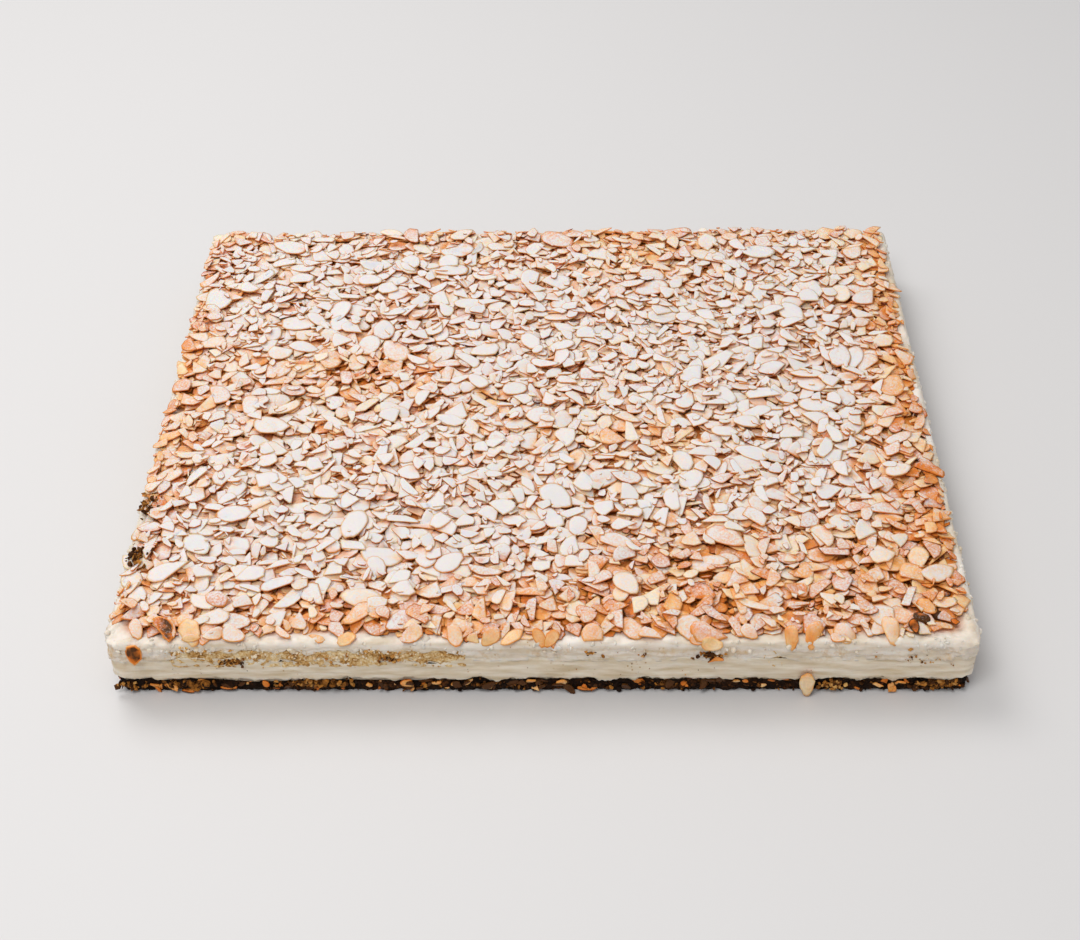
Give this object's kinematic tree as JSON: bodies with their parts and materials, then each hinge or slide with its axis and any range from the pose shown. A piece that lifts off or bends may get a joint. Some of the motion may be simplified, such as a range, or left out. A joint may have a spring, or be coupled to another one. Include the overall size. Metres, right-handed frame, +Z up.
{
  "type": "almond cream sheet cake",
  "caption": "Flat rectangular cream cake with a dark nut base, a thick cream filling, a thin upper sponge and a cream top covered with flaked almonds.",
  "frame": {"origin": "middle of the underside, on the surface that the cake rests on", "axes": "+X along the long side, to the right seen from the cut front; +Y from the cut front to the back; +Z up"},
  "size_m": [0.382, 0.3238, 0.0379],
  "materials": {
    "nut_sponge": "dark, moist nut sponge with a crumbly side",
    "whipped_cream": "scraped, slightly glossy whipped cream",
    "golden_sponge": "golden brown sponge crumb",
    "cream_topping": "bright whipped cream under the almonds",
    "flaked_almond": "toasted almond flakes dusted with icing sugar"
  },
  "bodies": {
    "root": {"nut_base": "nut_sponge", "cream_filling": "whipped_cream", "upper_sponge": "golden_sponge", "cream_top_with_almonds": "cream_topping"}
  },
  "joints": []
}
